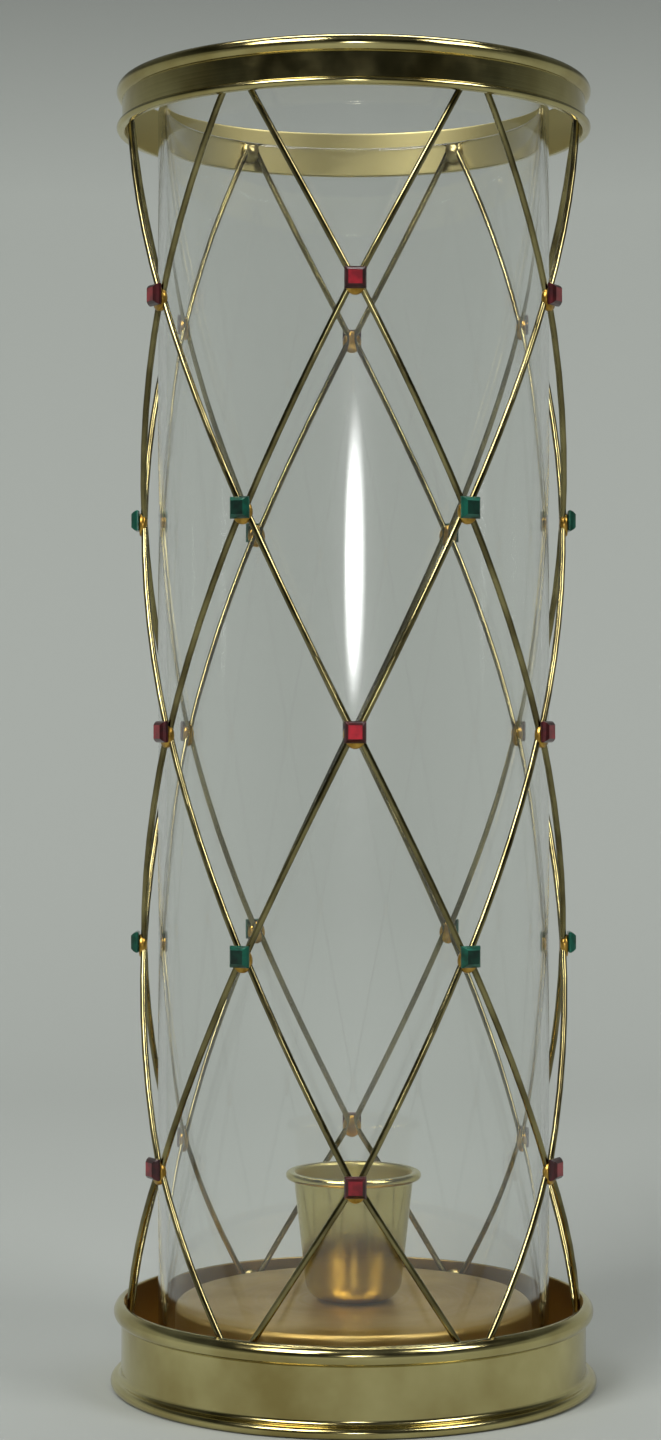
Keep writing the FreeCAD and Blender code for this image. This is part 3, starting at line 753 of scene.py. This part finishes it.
def stone_mesh(name, back, height):
    """Step-cut stone at the front, its back at a radius in millimetres, facing forwards."""
    half = STONE_SIDE / 2
    shell = bmesh.new()
    rings = []
    for share, rise in STONE_STEPS:
        reach = half * share
        depth = -(back + STONE_DEPTH * rise)
        corners = [(-reach, -reach), (reach, -reach), (reach, reach), (-reach, reach)]
        rings.append([shell.verts.new(Vector((x, depth, height + z)) * MM) for x, z in corners])
    for lower, upper in zip(rings, rings[1:]):
        for place in range(len(lower)):
            following = (place + 1) % len(lower)
            shell.faces.new((lower[place], lower[following], upper[following], upper[place]))
    shell.faces.new(rings[0][::-1])
    shell.faces.new(rings[-1])
    bmesh.ops.recalc_face_normals(shell, faces=shell.faces)
    bmesh.ops.bevel(shell, geom=list(shell.edges), offset=STONE_EDGE * MM, segments=1,
                    affect="EDGES")
    return mesh_of(shell, name)


print("stone:", round(STONE_SIDE, 1), "mm square and", STONE_DEPTH, "mm deep")

# %% One seat
SEAT_RADIUS = 3.7
SEAT_HALF_HEIGHT = 4.3
SEAT_DROP = 1.4
SEAT_WRAP = 2.3
SEAT_SIDES = 28
SEAT_FILM = 0.02
SEAT_DOME = [(0.0, 1.0), (0.5, 0.98), (0.8, 0.9), (0.95, 0.72), (1.0, 0.45), (0.98, 0.15)]


def seat_mesh(name, front, height):
    """Gold button under a stone, domed over the wires, its front at a radius in millimetres."""
    depth = SEAT_FRONT + SEAT_WRAP
    sections = [(share, depth * behind) for share, behind in SEAT_DOME]
    sections += [(0.9, SEAT_FILM), (0.0, 0.0)]
    shell = bmesh.new()
    rings = []
    for share, behind in sections:
        ring = []
        for step in range(SEAT_SIDES if share else 1):
            turn = 2 * math.pi * step / SEAT_SIDES
            x = SEAT_RADIUS * share * math.cos(turn)
            z = SEAT_HALF_HEIGHT * share * math.sin(turn)
            ring.append(shell.verts.new(Vector((x, -(front - behind), height + z)) * MM))
        rings.append(ring)
    for lower, upper in zip(rings, rings[1:]):
        for step in range(SEAT_SIDES):
            following = (step + 1) % SEAT_SIDES
            corners = ((lower, step), (lower, following), (upper, following), (upper, step))
            spots = [ring[spot % len(ring)] for ring, spot in corners]
            shell.faces.new(list(dict.fromkeys(spots)))
    bmesh.ops.recalc_face_normals(shell, faces=shell.faces)
    return mesh_of(shell, name)


print("seat:", 2 * SEAT_RADIUS, "by", 2 * SEAT_HALF_HEIGHT, "mm")

# %% [markdown]
# There are six stones in a row, one for each column, and every second row sits half a column
# further round. A loop could copy them, but a tree with inputs for the number, the turn, the
# finish and the shading makes every row of stones and seats, and later the solder, from one
# piece each.

# %% Rows of stones and seats
def make_row_tree():
    """One piece repeated round the axis, turned by a share of a column, smooth or faceted."""
    tree, given, made = new_tree("row_round_axis", [
        ("Columns", "NodeSocketInt"), ("Turn", "NodeSocketFloat"),
        ("Finish", "NodeSocketMaterial"), ("Smooth", "NodeSocketBool")])
    about = add(tree, "ShaderNodeCombineXYZ", {"Z": given["Turn"]})
    turned = add(tree, "GeometryNodeTransform", {
        "Geometry": given["Geometry"], "Rotation": about.outputs[0]})
    repeated = repeat_round_axis(tree, turned.outputs[0], given["Columns"])
    close_tree(tree, repeated, given["Smooth"], given["Finish"], made)
    return tree


row_tree = make_row_tree()


def repeat_row(mesh, turn, finish, smooth):
    """Mesh of one piece repeated once for each column."""
    values = {"Columns": COLUMNS, "Turn": math.radians(turn), "Finish": finish, "Smooth": smooth}
    return baked(bpy.data.objects.new(mesh.name, mesh), row_tree, values)


for row, node in enumerate(STONE_ROWS):
    number = row + 1
    is_red = node.startswith("ruby")
    finish, slot = (red_glass, "red_stone") if is_red else (green_glass, "green_stone")
    turn = 0 if row % 2 == 0 else HALF_COLUMN
    back = stone_faces[row] - STONE_DEPTH
    stone = stone_mesh(f"stone_{number}", back, row_heights[row])
    stones = repeat_row(stone, turn, finish, False)
    finish_piece(stones, f"stones_row_{number}", finish, "frame", [node])
    seat = seat_mesh(f"seat_{number}", back - SEAT_FILM, row_heights[row] - SEAT_DROP)
    seats = repeat_row(seat, turn, gold_solder, True)
    finish_piece(seats, f"seats_row_{number}", gold_solder, "frame", [f"seat_row_{number}"])

# %% [markdown]
# ## Solder at the wire ends
# The wire ends are soldered in pairs to the inside of the ring and of the base. Solder flows and
# freezes in a low mound, so each lump is a ball pressed flat against the wall, with its skin
# pushed about a little by a slow ripple.

# %% Solder lumps
SOLDER_RADIUS = 4.0
SOLDER_COVER = 0.6
SOLDER_SHIFT = 1.0
LUMP_SIDES, LUMP_RINGS = 28, 16
LUMP_FULLNESS = 0.6
LUMP_HOLLOW = 0.25
LUMP_RIPPLE = 0.05
LUMP_WAVE_ACROSS, LUMP_WAVE_UP, LUMP_WAVE_START = 3.1, 4.3, 1.7


def lump_mesh(name, bore, height):
    """Flattened mound on the inside of a wall at the front."""
    shell = bmesh.new()
    bmesh.ops.create_uvsphere(shell, u_segments=LUMP_SIDES, v_segments=LUMP_RINGS, radius=1.0)
    depth = 2 * WIRE_RADIUS + SOLDER_FILM + SOLDER_COVER
    for vertex in shell.verts:
        x, inwards, z = vertex.co
        wave = math.sin(LUMP_WAVE_ACROSS * x + LUMP_WAVE_START) * math.cos(LUMP_WAVE_UP * z)
        ripple = 1 + LUMP_RIPPLE * wave
        mound = depth * max(0.0, inwards) ** LUMP_FULLNESS * ripple
        reach = bore - mound + LUMP_HOLLOW * min(0.0, inwards)
        width = SOLDER_RADIUS * ripple
        vertex.co = Vector((width * x, -reach, height + width * z)) * MM
    bmesh.ops.recalc_face_normals(shell, faces=shell.faces)
    return mesh_of(shell, name)


for node, bore, height in (("ring_solder", ring_bore, wire_top - SOLDER_SHIFT),
                           ("base_solder", base_bore, wire_bottom + SOLDER_SHIFT)):
    lumps = repeat_row(lump_mesh(node, bore, height), HALF_COLUMN, pale_solder, True)
    finish_piece(lumps, f"{node}_lumps", pale_solder, "frame", [node])

# %% [markdown]
# ## Screw, washer and nut
# These plain machined pieces keep their solids from the frame and only need a finish:
# zinc-plated steel, slightly mottled.

# %% Plated steel
MOTTLE_MM = 2.5


def make_plated_steel():
    """Zinc-plated steel with a mottled sheen."""
    material, tree, shader, place = new_finish("zinc_plated_steel")
    mottle = add(tree, "ShaderNodeTexNoise", {
        "Vector": place, "Scale": per_metre(MOTTLE_MM), "Detail": 4.0})
    colour = add(tree, "ShaderNodeValToRGB", {"Fac": mottle.outputs["Fac"]},
                 stops=[(0.35, "#8f8d86"), (0.65, "#b9b6ad")])
    rough = add(tree, "ShaderNodeMapRange", {
        "Value": mottle.outputs["Fac"], "To Min": 0.25, "To Max": 0.45})
    feed(tree, shader, {
        "Metallic": 1.0, "Base Color": colour.outputs["Color"],
        "Roughness": rough.outputs["Result"]})
    return material


plated_steel = make_plated_steel()
for node in ("cup_screw", "cup_washer", "cup_nut"):
    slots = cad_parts[node].data.materials
    slots.clear()
    slots.append(plated_steel)
print("finish:", plated_steel.name)

# %% [markdown]
# ## Floor and backdrop
# The floor and the backdrop are one round sweep with no edge behind the lantern, from whichever
# side it is seen. A flat floor with a wall would be simpler, but its edge would show in the
# brass. The sweep is pale low down and painted darker high up, as painted shade for an unlit room,
# because that draws the dark lines along the brass that make it read as metal. Its paper shows
# only from inside, so that it never hides the lantern from a camera outside it.

# %% Sweep
SWEEP_CENTRE = -1.0
SWEEP_RADIUS = 2.5
SWEEP_CURVE = 0.7
SWEEP_HEIGHT = 3.0
SWEEP_SIDES, SWEEP_BENDS = 96, 16
PALE_UP_TO = 0.7
DARK_FROM = 1.05


def make_paper():
    """Matt paper, pale low down and painted dark high up as shade, which shows only from inside
    the sweep.
    """
    material, tree, shader, place = new_finish("pale_paper")
    height = add(tree, "ShaderNodeSeparateXYZ", {"Vector": place}).outputs["Z"]
    # Painted shade: the paper darkens above this height, standing in for an unlit room.
    upper = add(tree, "ShaderNodeMapRange", {
        "Value": height, "From Min": PALE_UP_TO, "From Max": DARK_FROM})
    colour = add(tree, "ShaderNodeValToRGB", {"Fac": upper.outputs["Result"]},
                 stops=[(0.0, "#9b9f9a"), (1.0, "#434643")])
    feed(tree, shader, {"Base Color": colour.outputs["Color"], "Roughness": 0.9})
    from_outside = add(tree, "ShaderNodeNewGeometry").outputs["Backfacing"]
    clear = add(tree, "ShaderNodeBsdfTransparent")
    shown = add(tree, "ShaderNodeMixShader", {
        0: from_outside, 1: shader.outputs[0], 2: clear.outputs[0]})
    feed(tree, tree.nodes["Material Output"], {"Surface": shown.outputs[0]})
    return material


def make_sweep():
    """Round floor that curves up into a wall on every side."""
    outline = [(SWEEP_RADIUS - SWEEP_CURVE, 0.0)]
    for step in range(1, SWEEP_BENDS + 1):
        angle = math.pi / 2 * step / SWEEP_BENDS
        outline.append((SWEEP_RADIUS - SWEEP_CURVE * (1 - math.sin(angle)),
                        SWEEP_CURVE * (1 - math.cos(angle))))
    outline.append((SWEEP_RADIUS, SWEEP_HEIGHT))
    turns = [2 * math.pi * step / SWEEP_SIDES for step in range(SWEEP_SIDES)]
    shell = bmesh.new()
    rings = []
    for radius, height in outline:
        spots = [(radius * math.cos(t), SWEEP_CENTRE + radius * math.sin(t), height)
                 for t in turns]
        rings.append([shell.verts.new(spot) for spot in spots])
    shell.faces.new(rings[0])
    for lower, upper in zip(rings, rings[1:]):
        for step in range(SWEEP_SIDES):
            following = (step + 1) % SWEEP_SIDES
            shell.faces.new((lower[step], upper[step], upper[following], lower[following]))
    mesh = mesh_of(shell, "sweep")
    mesh.shade_smooth()
    mesh.materials.append(make_paper())
    sweep = bpy.data.objects.new("sweep", mesh)
    bpy.context.scene.collection.objects.link(sweep)
    print("sweep:", 2 * SWEEP_RADIUS, "m across")


make_sweep()

# %% [markdown]
# ## Light
# Two large soft panels stand high, so an upright wall can't mirror them, and a third lights the
# backdrop. A small panel behind and above the camera, faded to its edges, gives the glass, the
# cup and the base the one bright streak that shows they are round. The room is darker than the
# panels, so the brass has something dark to mirror.

# %% Lights and world
MIDDLE = (0, 0, 0.24)
LOW_ON_BACKDROP = (0, 1.3, 0.4)
ROOM_STRENGTH = 0.3


def soft_panel(name, place, aim, width, height, watts):
    """Area light that faces a point and stays out of the camera's view."""
    lamp = bpy.data.lights.new(name, "AREA")
    lamp.shape = "RECTANGLE"
    lamp.size = width
    lamp.size_y = height
    lamp.energy = watts
    panel = bpy.data.objects.new(name, lamp)
    panel.location = place
    panel.rotation_euler = (Vector(aim) - Vector(place)).to_track_quat("-Z", "Y").to_euler()
    panel.visible_camera = False
    bpy.context.scene.collection.objects.link(panel)
    print(name, "-", watts, "W")
    return lamp


def fade_to_edges(lamp):
    """Makes a panel fade from its middle to its edges, as cloth over a lamp does."""
    lamp.use_nodes = True
    tree = lamp.node_tree
    spot = add(tree, "ShaderNodeNewGeometry").outputs["Parametric"]
    from_middle = add(tree, "ShaderNodeVectorMath", {0: spot, 1: (0.5, 0.5, 0)},
                      operation="SUBTRACT")
    level = add(tree, "ShaderNodeVectorMath", {0: from_middle.outputs[0], 1: (2, 2, 0)},
                operation="MULTIPLY")
    distance = add(tree, "ShaderNodeVectorMath", {0: level.outputs[0]}, operation="LENGTH")
    fade = add(tree, "ShaderNodeMapRange", {
        "Value": distance.outputs["Value"], "To Min": 1.0, "To Max": 0.0},
        interpolation_type="SMOOTHSTEP")
    feed(tree, tree.nodes["Emission"], {"Strength": fade.outputs["Result"]})


soft_panel("key_panel", (-1.0, -1.3, 1.9), MIDDLE, width=1.0, height=1.0, watts=46)
soft_panel("fill_panel", (1.3, -0.9, 1.7), MIDDLE, width=0.8, height=0.8, watts=20)
soft_panel("wall_panel", (0.0, 0.5, 2.3), LOW_ON_BACKDROP, width=1.8, height=0.6, watts=26)
streak_lamp = soft_panel("strip_panel", (0.01, -1.16, 0.36), MIDDLE,
                         width=0.27, height=0.24, watts=5.6)
fade_to_edges(streak_lamp)

world = bpy.data.worlds.new("room")
bpy.context.scene.world = world
world.use_nodes = True
feed(world.node_tree, world.node_tree.nodes["Background"], {
    "Color": linear("#6d716d"), "Strength": ROOM_STRENGTH})

# %% [markdown]
# ## Camera
# The height of the eye, its distance and the focal length were fitted to the picture. The focal
# length is in pixels of its frame, and PIXEL_MM is the size of such a pixel at the lantern's
# axis. The lantern isn't in the middle of the picture. The camera could be turned or its frame
# shifted, but one that steps aside and looks straight ahead is the simplest to check.

# %% Camera
PHOTO_WIDTH, PHOTO_HEIGHT = 661, 1440
EYE_HEIGHT = 240.6
FOCAL_PIXELS = 2900
PIXEL_MM = 0.364
AXIS_PIXEL = 353.5
SENSOR = 36.0
NEAR_CLIP = 0.01

camera_data = bpy.data.cameras.new("photo_camera")
camera_data.sensor_fit = "VERTICAL"
camera_data.sensor_height = SENSOR
camera_data.lens = FOCAL_PIXELS / PHOTO_HEIGHT * SENSOR
camera_data.clip_start = NEAR_CLIP
camera = bpy.data.objects.new("photo_camera", camera_data)
side_step = -(AXIS_PIXEL - PHOTO_WIDTH / 2) * PIXEL_MM
camera.location = Vector((side_step, -FOCAL_PIXELS * PIXEL_MM, EYE_HEIGHT)) * MM
camera.rotation_euler = (math.pi / 2, 0, 0)
bpy.context.scene.collection.objects.link(camera)
bpy.context.scene.camera = camera
bpy.context.scene.view_settings.view_transform = "Standard"
print("camera:", [round(value, 3) for value in camera.location])
